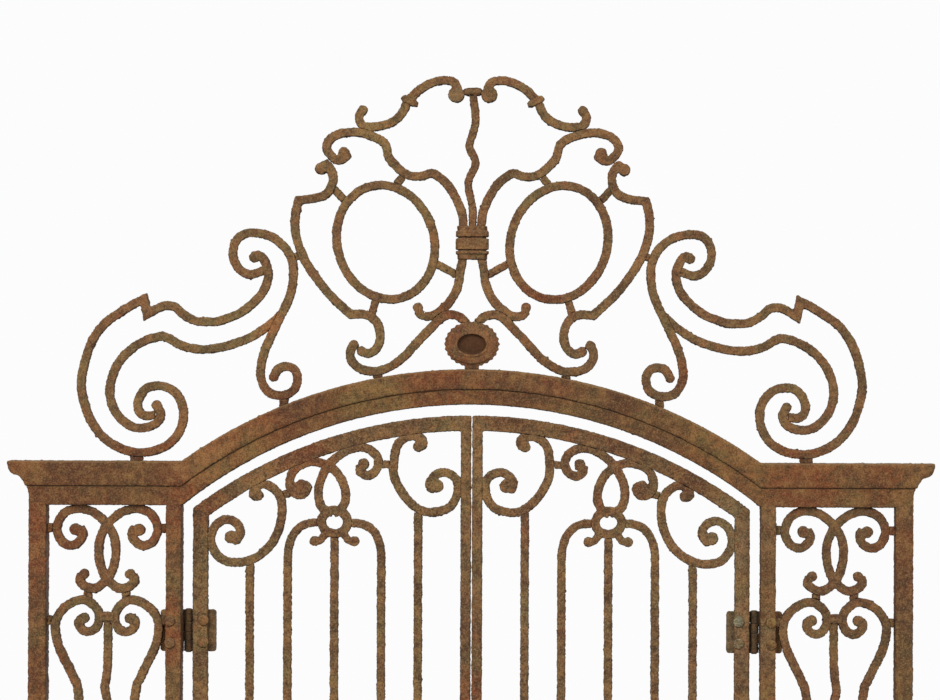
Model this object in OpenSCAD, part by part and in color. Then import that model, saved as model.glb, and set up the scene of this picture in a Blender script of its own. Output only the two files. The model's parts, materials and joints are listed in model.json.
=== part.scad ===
// Wrought-iron garden gate: two leaves that open to the back, in a frame with scrolled
// side panels, an arched cornice and a crest of mirrored scrolls.
// Millimetres, +Z up. The origin is on the ground, in the middle of the opening, half way
// through the posts. The front faces -Y.

/* [Frame] */
// Ground to the top of the cornice over the side panels
side_top = 1930; // [1700:10:2200]
// Clear width between the hinge posts
opening_w = 1160; // [1080:10:1280]
// Width of each hinge post
hinge_post_w = 30; // [26:1:40]
// Clear width of each side panel
panel_w = 240; // [225:5:280]
// Width of each outer post
outer_post_w = 35; // [30:1:50]
// Depth of all the posts, front to back
post_depth = 40; // [36:1:50]
// Height of the sill that closes a side panel below
sill_h = 30; // [20:1:45]
// Ground to the underside of the sill
sill_gap = 80; // [60:5:120]

/* [Head and cornice] */
// Rise of the arch from the hinge posts to its crown
arch_rise = 186; // [170:2:200]
// Thickness of the cornice, measured square to the arch
cornice_t = 40; // [34:1:46]
// How far the cornice stands proud of the posts, front and back
cornice_proud = 6; // [4:1:12]
// How far the cornice runs out past the outer posts
cornice_overhang = 43; // [30:1:55]
// Thickness of the flat head bar, measured square to the arch
head_bar_t = 30; // [24:1:36]

/* [Base plates] */
// Side of each square base plate
plate_side = 100; // [96:2:120]
// Thickness of a base plate
plate_t = 8; // [6:1:12]
// Distance between the centres of two neighbouring anchor holes
anchor_spacing = 72; // [70:1:76]
// Diameter of an anchor hole
anchor_d = 13; // [9:0.5:14]

/* [Leaves] */
// Gap between a hinge post and the leaf beside it
hinge_gap = 21; // [19:1:26]
// Gap between the two leaves
meeting_gap = 3; // [3:0.5:6]
// Gap between the head bar and the leaf under it
head_gap = 23; // [18:1:30]
// Gap between the ground and the leaf
ground_gap = 55; // [50:1:70]
// Width of the flat bar of a hinge stile
stile_w = 30; // [28:1:36]
// Width of the flat bar of a meeting stile
meeting_stile_w = 20; // [16:1:26]
// Width of the flat bar of the rails
rail_w = 30; // [24:1:36]
// Thickness of the flat bar of the leaf frame
leaf_t = 16; // [14:1:20]
// Ground to the underside of the lock rail
lock_rail_z = 980; // [900:10:1060]
// Side of the square upright bars
upright_w = 16; // [12:1:18]

/* [Scroll bars] */
// Width of a scroll bar, seen from the front
scroll_w = 17; // [15:0.5:19]
// Depth of a scroll bar, front to back
scroll_depth = 16; // [12:1:20]
// How much deeper the round eyes at the scroll ends are
eye_extra = 2; // [1:0.5:4]
// Height of the crest over the cornice that the scrolls are drawn to
crest_h = 590; // [560:5:620]

/* [Hinges] */
// Height of a hinge plate
hinge_h = 84; // [80:1:100]
// Thickness of a hinge plate
hinge_t = 5; // [4:0.5:6]
// Outer radius of the hinge barrel
barrel_r = 9; // [7.5:0.25:9.25]
// Radius of the hinge pin
pin_r = 4; // [3:0.25:4.5]
// Radial clearance of the pin in the knuckles
pin_clear = 0.06; // [0.04:0.01:0.1]
// Gap between two knuckles
knuckle_gap = 0.4; // [0.3:0.1:0.8]
// Top of the cornice down to the middle of the upper hinge
upper_hinge_drop = 341; // [300:5:400]
// Ground to the middle of the lower hinge
lower_hinge_z = 330; // [250:10:400]
// Height between the two bolts of a plate
bolt_spacing = 44; // [40:1:50]
// Radius of a hinge bolt's shank
bolt_r = 5; // [4:0.5:6]
// Radius of a hinge bolt's round head
bolt_head_r = 10.5; // [9:0.5:11]

/* [Slide bolt and drop bolt] */
// Radius of both sliding rods
rod_r = 6; // [5:0.5:7]
// Radial clearance of a rod in its guides
rod_clear = 0.3; // [0.2:0.05:0.5]
// Length of the slide bolt
slide_bolt_len = 190; // [180:5:220]
// Travel of the slide bolt
slide_travel = 35; // [30:1:40]
// Length of the drop bolt
drop_bolt_len = 420; // [380:10:460]
// Ground to the foot of the drop bolt when it is lifted
drop_rest_z = 62; // [58:1:70]

/* [Hidden] */
$fn = 48;

// Colours of the rusty iron
BROWN = "#6e5036";
RED_BROWN = "#75492f";
DARK_BROWN = "#4a3424";
OCHRE = "#8c6e41";

// Widths across the gate, from the middle outwards
half_opening = opening_w / 2;
post_inner = half_opening + hinge_post_w;
outer_inner = post_inner + panel_w;
half_w = outer_inner + outer_post_w;
panel_mid = post_inner + panel_w / 2;

// The arch: every arc of the head shares one centre on the axis of the gate
arch_r = (half_opening * half_opening + arch_rise * arch_rise) / (2 * arch_rise);
arch_z = side_top + arch_rise - arch_r;
cornice_r = arch_r - cornice_t;
soffit_r = cornice_r - head_bar_t;
// Height of an arc of radius r at the distance x from the axis
function arc_z(r, x) = arch_z + sqrt(r * r - x * x);
cornice_bottom = arc_z(cornice_r, half_opening);
head_bottom = arc_z(soffit_r, half_opening);
sill_top = sill_gap + sill_h;

// The leaf, drawn on the right; the left one is its mirror image
leaf_y = post_depth / 2 - leaf_t / 2;
leaf_front = leaf_y - leaf_t / 2;
meeting_x = meeting_gap / 2;
leaf_inner = meeting_x + meeting_stile_w;
leaf_outer = half_opening - hinge_gap;
leaf_inner_far = leaf_outer - stile_w;
leaf_mid = (leaf_inner + leaf_inner_far) / 2;
leaf_scale = (leaf_inner_far - leaf_inner) / 507.5;
function leaf_top_z(x) = arc_z(soffit_r, x) - head_gap;
function rail_under_z(x) = arc_z(soffit_r - rail_w, x) - head_gap;
lock_rail_top = lock_rail_z + rail_w;
bottom_rail_top = ground_gap + rail_w;

// The hinge: its axis lies behind the back faces of the posts
axis_x = half_opening - hinge_gap / 2;
axis_y = post_depth / 2 + hinge_t;
hinge_zs = [lower_hinge_z, side_top - upper_hinge_drop];
// How far the middle bolts and the tips of the hinge plates are from the axis
bolt_from_axis = 32;
plate_reach = 56;
// How far a plate stays from the other plate's knuckles
plate_clear = 0.6;
// Heights of the four knuckles as shares of the hinge, from the top
KNUCKLES = [0.29, 0.24, 0.21, 0.26];

// ---------------------------------------------------------------- centrelines

function unit(v) = v / norm(v);
function left_of(v) = [-v.y, v.x];
function reversed(p) = [for (i = [len(p) - 1:-1:0]) p[i]];
function tail(p) = [for (i = [1:len(p) - 1]) p[i]];

// A point between b and c on a smooth line through a, b, c and d
function between(a, b, c, d, t) =
    (2 * b + (c - a) * t + (2 * a - 5 * b + 4 * c - d) * t * t
        + (3 * b - a - 3 * c + d) * t * t * t) / 2;

// A smooth line through the points p, with the first and last steps left straight where
// they run into a sharp corner
function smooth(p, straight_ends = false) =
    let (last = len(p) - 1)
    [
        for (i = [0:last - 1])
            let (n = straight_ends && (i == 0 || i == last - 1) ? 1 : 3)
            for (k = [0:n - 1])
                between(p[max(i - 1, 0)], p[i], p[i + 1], p[min(i + 2, last)], k / n),
        p[last]
    ];

// Smooth stretches that meet at sharp corners; each begins where the last one ends
function cornered(parts) = [
    for (i = [0:len(parts) - 1])
        each i == 0 ? smooth(parts[i], true) : tail(smooth(parts[i], true))
];

// The offset that mitres a bar of half width 1 at point i of the line p
function mitre(p, i) =
    let (
        last = len(p) - 1,
        a = left_of(unit(p[min(i, last - 1) + 1] - p[min(i, last - 1)])),
        b = left_of(unit(p[max(i, 1)] - p[max(i, 1) - 1]))
    )
    2 * (a + b) / ((a + b) * (a + b));

// The outline of a bar of width w along the line p
function strip(p, w) = concat(
    [for (i = [0:len(p) - 1]) p[i] + w / 2 * mitre(p, i)],
    [for (i = [len(p) - 1:-1:0]) p[i] - w / 2 * mitre(p, i)]
);

// ---------------------------------------------------------------- basic shapes

// A flat shape drawn in X and Z, made `depth` thick about Y = 0
module upright(depth)
    rotate([90, 0, 0])
        linear_extrude(depth, center = true)
            children();

module bar(p, depth = scroll_depth, w = scroll_w)
    upright(depth)
        polygon(strip(p, w));

// A round eye at the end of a scroll
module eye(p, r, depth = scroll_depth)
    translate([p.x, 0, p.y])
        rotate([90, 0, 0])
            cylinder(r = r, h = depth + eye_extra, center = true);

// A block w wide and centred on the line from a to b
module strut(a, b, w = scroll_w - 2)
    upright(scroll_depth - 2)
        polygon(strip([a, b], w));

// A box from corner to corner
module block(low, high)
    translate(low)
        cube(high - low);

module both_sides() {
    children();
    mirror([1, 0, 0])
        children();
}

// How much deeper than the bars a cutter is, so that it cuts them right through
cut = scroll_depth + 20;

// ---------------------------------------------------------------- frame

module post(x, w)
    color(BROWN)
        block([x, -post_depth / 2, plate_t], [x + w, post_depth / 2, head_bottom]);

module outer_post() post(outer_inner, outer_post_w);
module hinge_post()
    difference() {
        post(half_opening, hinge_post_w);
        bolt_holes(1);
    }

// A plate under each post, with an anchor hole near each corner
module base_plate(x)
    translate([x, 0, 0])
        difference() {
            block([-plate_side / 2, -plate_side / 2, 0], [plate_side / 2, plate_side / 2, plate_t]);
            for (sx = [-1, 1], sy = [-1, 1])
                translate([sx * anchor_spacing / 2, sy * anchor_spacing / 2, -1])
                    cylinder(d = anchor_d, h = plate_t + 2);
        }

module base_plates()
    color(BROWN)
        both_sides()
            for (x = [half_opening + hinge_post_w / 2, outer_inner + outer_post_w / 2])
                base_plate(x);

module panel_sills()
    color(BROWN)
        both_sides()
            block([post_inner, -post_depth / 2, sill_gap], [outer_inner, post_depth / 2, sill_top]);

// One ring of the arch, spun from a section given as [radius, y] points
module arch(section)
    translate([0, 0, arch_z])
        rotate([90, 0, 0])
            intersection() {
                rotate_extrude($fn = 240)
                    polygon(section);
                translate([-half_opening, 0, -post_depth])
                    cube([opening_w, arch_r + 1, 2 * post_depth]);
            }

// The straight run over a side panel, with the section that the arch has where it ends
module side_run(section, x_end)
    translate([half_opening, 0, 0])
        rotate([90, 0, 90])
            linear_extrude(x_end - half_opening)
                polygon([for (p = section) [p.y, arc_z(p.x, half_opening)]]);

// Section of the flat head bar
HEAD_SECTION = [
    [soffit_r, -post_depth / 2], [cornice_r, -post_depth / 2],
    [cornice_r, post_depth / 2], [soffit_r, post_depth / 2]
];
// The head bar's end swells out under the cornice by this much
head_flare = 7;

module head_bar()
    color(RED_BROWN) {
        arch(HEAD_SECTION);
        both_sides()
            intersection() {
                side_run(HEAD_SECTION, half_w + head_flare);
                upright(post_depth + 2)
                    polygon([
                        [half_opening - 1, head_bottom - 1], [half_w, head_bottom - 1],
                        for (a = [0:15:90])
                            [half_w + head_flare * (1 - cos(a)), cornice_bottom - 20 * (1 - sin(a))],
                        [half_w + head_flare, cornice_bottom + 1], [half_opening - 1, cornice_bottom + 1]
                    ]);
            }
    }

// Section of the cornice: a flat face with its edges taken off, stepped back to the head bar
function cornice_edge(s) = [
    [arch_r, s * (post_depth / 2 + cornice_proud - 2)],
    [arch_r - 2, s * (post_depth / 2 + cornice_proud)],
    [cornice_r + 4, s * (post_depth / 2 + cornice_proud)],
    [cornice_r, s * (post_depth / 2 + cornice_proud - 2)],
    [cornice_r, s * (post_depth / 2 - 1)]
];
CORNICE_SECTION = concat(cornice_edge(-1), reversed(cornice_edge(1)));

// The cornice's end, as shares of its overhang and of its height, from the top down: a
// lip, its underside and a hollow down to the head bar
CORNICE_END = [
    [1, 0], [0.99, 0.14], [0.93, 0.32], [0.82, 0.47], [0.68, 0.54], [0.52, 0.57],
    [0.4, 0.63], [0.28, 0.77], [0.2, 0.9]
];

module cornice()
    color(RED_BROWN) {
        arch(CORNICE_SECTION);
        both_sides()
            intersection() {
                side_run(CORNICE_SECTION, half_w + cornice_overhang);
                upright(post_depth * 2)
                    polygon([
                        [half_opening - 1, side_top + 1], [half_w + cornice_overhang, side_top + 1],
                        for (p = CORNICE_END)
                            [
                                half_w + p.x * cornice_overhang,
                                side_top - p.y * (side_top - cornice_bottom)
                            ],
                        [half_w + head_flare, cornice_bottom - 1], [half_opening - 1, cornice_bottom - 1]
                    ]);
            }
    }

// ---------------------------------------------------------------- crest

// The crest's points are [distance from the axis, height over the cornice], drawn for a
// crest that is 590 high over posts that end 881 from the axis
crest_sx = half_w / 881;
crest_sz = crest_h / 590;
function cornice_z(x) = abs(x) < half_opening ? arc_z(arch_r, x) : side_top;
function on_crest(p) = [p.x * crest_sx, cornice_z(p.x * crest_sx) + p.y * crest_sz];
function crest(points) = [for (p = points) on_crest(p)];

// Round eyes at the ends of a scroll, as [distance, height, radius]
function crest_eyes(list) = [for (e = list) [on_crest(e), e[2]]];

TOP_LINE = smooth(crest([
    [221, 543], [227, 534], [225, 521], [216, 511], [202, 507], [184, 505], [164, 508],
    [148, 516], [138, 529], [131, 543], [121, 554], [106, 567], [87, 576], [68, 581],
    [52, 581], [38, 577], [29, 563]
]));
TOP_EYES = crest_eyes([[220, 544, 9.5], [33, 552, 16]]);
TOP_EYE = TOP_EYES[1][0];

SHOULDER_LINE = smooth(crest([
    [252, 460], [262, 455], [273, 458], [284, 471], [292, 488], [285, 502], [268, 508],
    [244, 506], [220, 498], [200, 487], [186, 478], [175, 467], [171, 455], [168, 441],
    [159, 427], [146, 412], [130, 399], [113, 393], [97, 393], [82, 397], [68, 389],
    [49, 371], [34, 346], [22, 318], [18, 291], [18, 262], [19, 225], [24, 197],
    [26, 178], [33, 156], [47, 134], [64, 119], [82, 110], [99, 113], [109, 124]
]));
SHOULDER_EYES = crest_eyes([[252, 460, 9], [257, 467, 11.5], [108, 130, 9.5]]);

// The tilted ring beside the collar: an oval between two ellipses
RING_MID = on_crest([173, 270]);
RING_RX = 97;
RING_RZ = 116;
RING_TILT = -17;

SHIELD_LINE = cornered([
    crest([
        [304, 452], [292, 454], [282, 440], [278, 424], [281, 409], [289, 397],
        [303, 393], [322, 395], [347, 401]
    ]),
    crest([
        [347, 401], [353, 378], [354, 345], [347, 312], [334, 276], [314, 237],
        [288, 196], [263, 164], [242, 139]
    ]),
    crest([
        [242, 139], [223, 136], [203, 127], [188, 107], [183, 82], [190, 60],
        [207, 53], [219, 59]
    ])
]);
SHIELD_EYES = crest_eyes([[303, 449, 11.5], [220, 61, 9.5]]);

FOOT_LINE = smooth(crest([
    [11, 92], [22, 104], [36, 110], [51, 110], [66, 102], [82, 86], [100, 69], [118, 51],
    [137, 33], [160, 20], [184, 14], [207, 18], [228, 30], [241, 48], [243, 65],
    [238, 76]
]));
FOOT_EYES = crest_eyes([[236, 77, 9.5]]);

OUTER_LINE = cornered([
    crest([
        [436, 327], [428, 326], [419, 316], [412, 300], [407, 279], [413, 253],
        [433, 235], [462, 227], [489, 230], [510, 236], [529, 247], [549, 261],
        [564, 277], [579, 296], [593, 309], [611, 312], [627, 307], [649, 294]
    ]),
    crest([[649, 294], [655, 325]]),
    crest([
        [655, 325], [675, 315], [701, 299], [735, 274], [760, 237], [774, 195],
        [780, 153], [773, 113], [758, 76], [734, 46], [703, 26], [669, 17], [633, 21],
        [602, 36], [582, 62], [575, 94], [583, 125], [602, 145], [626, 151],
        [649, 146], [663, 128], [667, 110], [661, 95], [648, 90], [632, 92]
    ])
]);
OUTER_EYES = crest_eyes([[435, 324, 10]]);

LOOP_LINE = smooth(crest([
    [409, 289], [428, 290], [446, 295], [465, 316], [477, 344], [476, 368],
    [466, 380], [448, 379], [423, 366], [397, 346], [372, 314], [359, 282],
    [357, 250], [362, 221], [374, 196], [387, 174], [401, 151], [413, 128],
    [421, 101], [421, 74], [409, 44], [390, 27], [370, 20], [353, 26], [348, 46],
    [356, 66], [371, 77], [386, 79], [395, 69]
]));
LOOP_EYES = crest_eyes([[396, 66, 9]]);

INNER_LINE = cornered([
    crest([
        [379, 188], [392, 180], [407, 174], [423, 170], [440, 167], [463, 169],
        [489, 175], [513, 184],
        [537, 197], [561, 215], [585, 234], [602, 245], [617, 251]
    ]),
    crest([
        [617, 251], [641, 246], [673, 230], [701, 203], [718, 170], [723, 136],
        [715, 105], [698, 82], [679, 69], [659, 66], [640, 70], [625, 81], [621, 97],
        [627, 110]
    ])
]);
INNER_EYES = crest_eyes([[629, 112, 9.5]]);

// A scroll: its bar and the eyes at its ends
module scroll(line, eyes, depth) {
    bar(line, depth);
    for (e = eyes)
        eye(e[0], e[1], depth);
}

// Half the width and half the height of the medallion's rim
MEDALLION_RX = 54;
MEDALLION_RZ = 45;
medallion_mid = on_crest([0, 51]);

// The medallion's rope-like edge: small lobes all the way round
module medallion_edge()
    polygon([
        for (a = [0:3:357])
            let (lobe = 1.5 * cos(a * 26))
            [(MEDALLION_RX + lobe) * cos(a), (MEDALLION_RZ + lobe) * sin(a)]
    ]);

module medallion_solid()
    translate([0, 0, medallion_mid.y])
        difference() {
            union() {
                upright(16)
                    medallion_edge();
                upright(22)
                    ellipse(MEDALLION_RX - 5, MEDALLION_RZ - 5);
                // A lip round the sunk middle
                translate([0, 0, -1])
                    upright(26)
                        ellipse(33, 25);
            }
            // The sunk middle, front and back
            for (s = [-1, 1])
                translate([0, s * 10, -1])
                    upright(16)
                        ellipse(29, 21);
        }

module medallion()
    color(DARK_BROWN)
        difference() {
            union() {
                medallion_solid();
                block([-14, -8, arch_z + arch_r - 5], [14, 8, on_crest([0, 20]).y]);
            }
            arch_cutter();
        }

// Everything under the top of the cornice
module arch_cutter() {
    translate([0, 0, arch_z])
        rotate([90, 0, 0])
            cylinder(r = arch_r, h = 3 * post_depth, center = true, $fn = 240);
    block([-half_w - 100, -post_depth, side_top - 60], [half_w + 100, post_depth, side_top]);
}

module shield_solid(depth = scroll_depth)
    scroll(SHIELD_LINE, SHIELD_EYES, depth);

module shield_bars()
    color(BROWN)
        both_sides()
            difference() {
                shield_solid();
                shoulder_solid(cut);
            }

module foot_solid(depth = scroll_depth)
    scroll(FOOT_LINE, FOOT_EYES, depth);

module foot_scrolls()
    color(BROWN)
        both_sides()
            difference() {
                foot_solid();
                shield_solid(cut);
                medallion_hull(cut);
                arch_cutter();
            }

// The outline of the medallion, as a cutter for what runs up to it
module medallion_hull(depth)
    translate([0, 0, medallion_mid.y])
        upright(depth)
            medallion_edge();

module shoulder_solid(depth = scroll_depth)
    scroll(SHOULDER_LINE, SHOULDER_EYES, depth);

module shoulder_scrolls()
    color(BROWN)
        both_sides()
            difference() {
                shoulder_solid();
                foot_solid(cut);
                ring_solid(cut);
            }

module ring_solid(depth = scroll_depth)
    translate([RING_MID.x, 0, RING_MID.y])
        rotate([0, -RING_TILT, 0])
            upright(depth)
                difference() {
                    ellipse(RING_RX + scroll_w / 2, RING_RZ + scroll_w / 2);
                    ellipse(RING_RX - scroll_w / 2, RING_RZ - scroll_w / 2);
                }

module ellipse(rx, rz)
    polygon([for (a = [0:5:355]) [rx * cos(a), rz * sin(a)]]);

module oval_rings()
    color(BROWN)
        both_sides()
            difference() {
                ring_solid();
                shield_solid(cut);
            }

module top_solid(depth = scroll_depth)
    scroll(TOP_LINE, TOP_EYES, depth);

module top_scrolls()
    color(BROWN)
        both_sides()
            difference() {
                top_solid();
                shoulder_solid(cut);
            }

module outer_solid(depth = scroll_depth)
    scroll(OUTER_LINE, OUTER_EYES, depth);

module loop_solid(depth = scroll_depth)
    scroll(LOOP_LINE, LOOP_EYES, depth);

module inner_solid(depth = scroll_depth)
    scroll(INNER_LINE, INNER_EYES, depth);

module outer_volutes()
    color(BROWN)
        both_sides()
            difference() {
                outer_solid();
                inner_solid(cut);
            }

module inner_volutes()
    color(BROWN)
        both_sides()
            difference() {
                inner_solid();
                loop_solid(cut);
            }

module loop_scrolls()
    color(BROWN)
        both_sides()
            difference() {
                loop_solid();
                outer_solid(cut);
            }

// The long bead between the top eyes
module tie_bead() {
    reach = TOP_EYE.x - 13;
    translate([0, 0, TOP_EYE.y + 5])
        rotate([0, 90, 0])
            rotate_extrude()
                polygon([
                    [0, -reach], [5, -reach], [8, 7 - reach], [9, 16 - reach],
                    [9, reach - 16], [8, reach - 7], [5, reach], [0, reach]
                ]);
}

// The bead, and a cusped collar across each top scroll
module tie_collars()
    color(DARK_BROWN) {
        difference() {
            tie_bead();
            both_sides()
                top_solid(cut);
        }
        both_sides()
            difference() {
                cross_collar();
                top_solid(scroll_depth);
            }
    }

module cross_collar() {
    at = on_crest([126, 546]);
    translate([at.x, 0, at.y])
        rotate([0, 63, 0])
            upright(scroll_depth + 8)
                polygon([
                    [-7, -11], [-4, -17], [3, -18], [7, -11],
                    [7, 11], [4, 18], [-3, 17], [-7, 11]
                ]);
}

WAVY_LINE = smooth(crest([
    [0, 553], [6, 494], [-7, 448], [7, 414], [-9, 374], [0, 328], [0, 288], [0, 250]
]));

module wavy_rod()
    color(BROWN)
        difference() {
            bar(WAVY_LINE, scroll_depth - 2, scroll_w - 2);
            tie_bead();
        }

// A slice of the binding between two heights over the cornice, set back by `inset`
module collar_slice(from, to, inset) {
    low = on_crest([0, from]).y;
    w = 32.5 - inset;
    d = 16 - inset;
    corner = 5;
    translate([0, 0, low])
        linear_extrude(on_crest([0, to]).y - low)
            polygon([
                [w, d - corner], [w - corner, d], [corner - w, d], [-w, d - corner],
                [-w, corner - d], [corner - w, -d], [w - corner, -d], [w, corner - d]
            ]);
}

// The binding round the two shoulder bars and the rod between them: three bands of two
// ribs each, with the outer ribs of all drawn in. Each rib is [from, to, inset].
COLLAR_RIBS = [
    [220.5, 230.5, 3], [231.5, 237, 0], [240.5, 251, 0], [252, 262.5, 0], [266, 277, 0],
    [278, 287.5, 3]
];

module binding_collar()
    color(BROWN)
        difference() {
            union() {
                for (rib = COLLAR_RIBS)
                    collar_slice(rib[0], rib[1], rib[2]);
                collar_slice(COLLAR_RIBS[0][0], COLLAR_RIBS[5][1], 5);
            }
            block(
                [-20, -scroll_depth / 2, on_crest([0, 210]).y],
                [20, scroll_depth / 2, on_crest([0, 300]).y]
            );
            both_sides()
                shoulder_solid(scroll_depth - eye_extra);
            both_sides()
                shoulder_solid(scroll_depth);
        }

// Welded blocks between neighbouring bars, each cut to fit the bars that it joins
CREST_STRUTS = [
    [[134, 402], [156, 378]], [[280, 405], [255, 372]], [[74, 216], [26, 187]],
    [[192, 158], [201, 129]], [[334, 290], [362, 290]]
];

module crest_bars_cutter() {
    shoulder_solid(cut);
    ring_solid(cut);
    shield_solid(cut);
    loop_solid(cut);
    outer_solid(cut);
    foot_solid(cut);
}

module crest_blocks()
    color(BROWN)
        both_sides()
            difference() {
                union() {
                    for (s = CREST_STRUTS)
                        strut(on_crest(s[0]), on_crest(s[1]));
                    strut(on_crest([188, -4]), on_crest([188, 16]), 18);
                    strut(on_crest([375, -4]), on_crest([375, 20]), 18);
                    strut(on_crest([668, -4]), on_crest([668, 20]), 26);
                }
                crest_bars_cutter();
                arch_cutter();
            }

// ---------------------------------------------------------------- side panels

// The panels' points are [outwards from the panel's middle, down from the head bar]. What
// is at the top comes back upside down at the bottom.
panel_scale = panel_w / 240;
panel_mid_z = (head_bottom + sill_top) / 2;
function in_panel(points) = [for (p = points) [p.x * panel_scale, head_bottom - p.y]];
half_panel_h = head_bottom - panel_mid_z;

// Round eyes, as [outwards, down, radius]
function panel_eyes(list) = [for (e = list) [[e[0] * panel_scale, head_bottom - e[1]], e[2]]];

KNOT_LINE = smooth(in_panel([
    [55, 46], [49, 57], [52, 69], [62, 79], [76, 82], [91, 74], [101, 52], [95, 28],
    [79, 13], [55, 8], [29, 15], [4, 35], [-11, 58], [-17, 82], [-16, 109],
    [-8, 137], [6, 156], [24, 168], [42, 165], [55, 154], [52, 141]
]));
KNOT_EYES = panel_eyes([[64, 50, 11.5], [46, 139, 9.5]]);

// Where the lyre closes on the rod, as shares of the way to the middle of the panel
LYRE_TAPER = [[0.35, 40], [0.7, 23]];
LYRE_HALF = smooth(concat(
    in_panel([
        [49, 227], [56, 233], [56, 242], [48, 252], [36, 255], [24, 249], [16, 234],
        [17, 216], [28, 201], [45, 191], [67, 195], [90, 211], [103, 236], [102, 265],
        [92, 296], [77, 326], [65, 352], [57, 380]
    ]),
    [
        for (t = LYRE_TAPER)
            [t[1] * panel_scale, head_bottom - 380 - t[0] * (half_panel_h - 380)]
    ],
    [[(scroll_w + upright_w) / 2, panel_mid_z]]
));
LYRE_EYES = panel_eyes([[46, 228, 10]]);
// The whole bar: the upper half, then the same upside down
function upside_down(p) = [for (q = reversed(p)) [q.x, 2 * panel_mid_z - q.y]];
LYRE_LINE = concat(LYRE_HALF, tail(upside_down(LYRE_HALF)));

ROD_HALF = smooth(in_panel([
    [-2, 225], [-2, 294], [-1, 327], [2, 351], [4, 371], [-1, 395], [-1, 430], [0, 480]
]));
ROD_LINE = concat(ROD_HALF, upside_down(ROD_HALF));

module in_both_panels()
    both_sides()
        translate([panel_mid, 0, 0])
            children();

module top_and_bottom() {
    children();
    translate([0, 0, 2 * panel_mid_z])
        mirror([0, 0, 1])
            children();
}

// The clear space of a panel, which trims what is pressed against its edges
module panel_space()
    block([-panel_w / 2, -post_depth, sill_top], [panel_w / 2, post_depth, head_bottom]);

module knot_solid(depth = scroll_depth)
    both_sides()
        scroll(KNOT_LINE, KNOT_EYES, depth);

module panel_knots()
    color(BROWN)
        in_both_panels()
            intersection() {
                top_and_bottom()
                    knot_solid();
                panel_space();
            }

module lyre_solid(depth = scroll_depth) {
    bar(LYRE_LINE, depth);
    top_and_bottom()
        for (e = LYRE_EYES)
            eye(e[0], e[1], depth);
}

module panel_lyres()
    color(BROWN)
        in_both_panels()
            both_sides()
                lyre_solid();

module panel_rods()
    color(BROWN)
        in_both_panels()
            difference() {
                bar(ROD_LINE, upright_w, upright_w);
                bridges();
                both_sides()
                    lyre_solid(cut);
            }

// The bridge between the two hooks of a lyre
module bridges()
    top_and_bottom()
        block([-14, -10, head_bottom - 233], [14, 6, head_bottom - 215]);

module panel_blocks()
    color(BROWN)
        in_both_panels()
            difference() {
                union() {
                    bridges();
                    top_and_bottom() {
                        both_sides() {
                            // Lugs from the knot and the lyre to the posts
                            lug(47, 98 * panel_scale);
                            lug(232, 100 * panel_scale);
                            // Links between the knot and the lyre
                            block([30, -7, head_bottom - 198], [46, 7, head_bottom - 160]);
                        }
                    }
                    // The collar where the lyre closes on the rod
                    block(
                        [-scroll_w * 1.5 - 6, -scroll_depth / 2 - 5, panel_mid_z - 30],
                        [scroll_w * 1.5 + 6, scroll_depth / 2 + 5, panel_mid_z + 30]
                    );
                }
                both_sides()
                    lyre_solid();
                top_and_bottom()
                    knot_solid(cut);
                block([-upright_w / 2, -upright_w / 2, 0], [upright_w / 2, upright_w / 2, head_bottom - 233]);
            }

// A lug at a height z below the head bar that reaches out to the post
module lug(z, from_x)
    block([from_x, -7, head_bottom - z - 9], [panel_w / 2, 7, head_bottom - z + 9]);

// ---------------------------------------------------------------- leaves

// The leaf's points are [from the leaf's middle towards its hinge, height over the
// underside of the arched rail straight above]
function on_leaf(p) =
    let (x = leaf_mid + p.x * leaf_scale)
    [x, rail_under_z(x) + p.y];
function leaf(points) = [for (p = points) on_leaf(p)];
// The same, but from the rail's height at the leaf's middle, for what stands upright
mid_z = rail_under_z(leaf_mid);
function hung(points) = [for (p = points) [leaf_mid + p.x * leaf_scale, mid_z + p.y]];

// Round eyes, as [towards the hinge, height, radius]
function leaf_eyes(list) = [for (e = list) [on_leaf(e), e[2]]];

HINGE_C_LINE = smooth(leaf([
    [198, -88], [189, -80], [191, -65], [201, -48], [219, -32], [240, -30], [249, -50],
    [241, -82], [220, -114], [191, -136], [162, -145], [134, -139], [115, -118],
    [106, -86], [109, -49], [124, -23], [143, -5], [159, -3], [164, -13], [157, -23]
]));
HINGE_C_EYES = leaf_eyes([[208, -74, 12.5], [198, -87, 9], [154, -22, 10.5]]);
MEETING_C_LINE = smooth(leaf([
    [-173, -28], [-178, -18], [-171, -8], [-157, -3], [-139, -6], [-124, -20],
    [-119, -46], [-119, -76], [-131, -106], [-150, -134], [-174, -155], [-201, -161],
    [-231, -153], [-246, -128], [-247, -103], [-235, -88], [-217, -82], [-202, -87],
    [-191, -101], [-195, -115]
]));
MEETING_C_EYES = leaf_eyes([[-168, -26, 10.5], [-206, -109, 12.5], [-195, -113, 9]]);

HINGE_EYE_LINE = smooth(leaf([
    [62, -43], [55, -53], [64, -63], [78, -56], [90, -37], [88, -15], [76, -3],
    [46, -4], [18, -20], [-5, -44], [-19, -74], [-22, -102], [-14, -118], [2, -124]
]));
MEETING_EYE_LINE = smooth(leaf([
    [-51, -43], [-51, -54], [-64, -66], [-80, -63], [-88, -46], [-81, -26], [-60, -9],
    [-35, -4], [-10, -10], [11, -22], [26, -43], [33, -66], [30, -93], [20, -110],
    [4, -121]
]));
KNOT_EYES_LEAF = leaf_eyes([[68, -42, 10.5], [-58, -41, 11]]);

// The small ring under the knot, half its width and half its height, and its curls
HUB_MID = [leaf_mid, mid_z - 141];
HUB_RX = 26.5;
HUB_RZ = 23.5;
CURL_LINE = smooth(hung([[14, -156], [27, -177], [40, -180]]));

// The inverted U: one bar bent over under the knot, with straight legs
ARCHED_HALF = smooth(hung([
    [31, -143], [51, -144], [70, -152], [85, -170], [93, -197], [94, -230], [94, -260]
]));

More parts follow.
